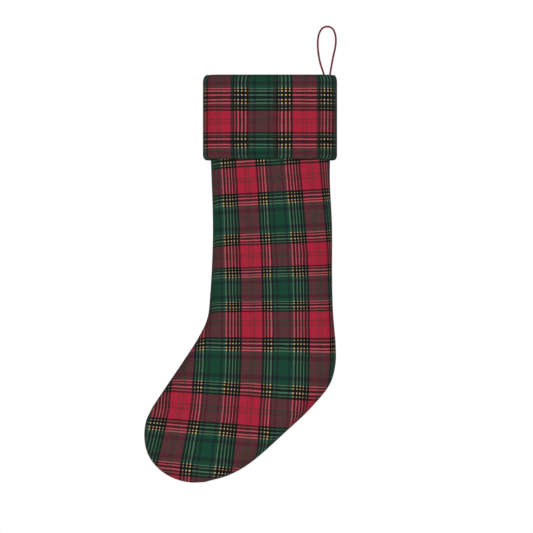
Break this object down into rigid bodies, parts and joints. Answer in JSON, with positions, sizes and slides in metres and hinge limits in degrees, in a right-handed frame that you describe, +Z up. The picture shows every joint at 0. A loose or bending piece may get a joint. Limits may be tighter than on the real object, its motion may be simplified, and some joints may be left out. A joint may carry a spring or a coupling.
{
  "type": "hanging stocking",
  "caption": "Padded tartan holiday stocking with an open mouth, a deep padded cuff and a cord loop to hang it by, which folds down over the rim.",
  "frame": {"origin": "where the hanging loop bears on its hook: the inside of the loop's top, in the seam plane", "axes": "+Z up, +X towards the heel side, -Y out of the front of the stocking"},
  "size_m": [0.2398, 0.05, 0.5705],
  "materials": {
    "plaid_flannel": "brushed tartan twill in crimson and bottle green",
    "wadding": "lofty polyester wadding",
    "lining_cotton": "plain weave cotton, deep red",
    "satin_cord": "braided satin cord, dark crimson",
    "thread": "polyester sewing thread, dark crimson"
  },
  "bodies": {
    "loop": {"hanging_loop": "satin_cord"},
    "stocking": {"shell_front": "plaid_flannel", "shell_back": "plaid_flannel", "wadding_front": "wadding", "wadding_back": "wadding", "lining_front": "lining_cotton", "lining_back": "lining_cotton", "cuff_front": "plaid_flannel", "cuff_back": "plaid_flannel", "cuff_wadding_front": "wadding", "cuff_wadding_back": "wadding", "loop_tails": "satin_cord", "loop_bar_tack": "thread"}
  },
  "joints": [
    {"name": "loop_swing", "type": "hinge", "parent": "loop", "child": "stocking", "pos_m": [0, 0, -0.0582], "axis": [1, 0, 0], "range_deg": [-90, 90]}
  ]
}
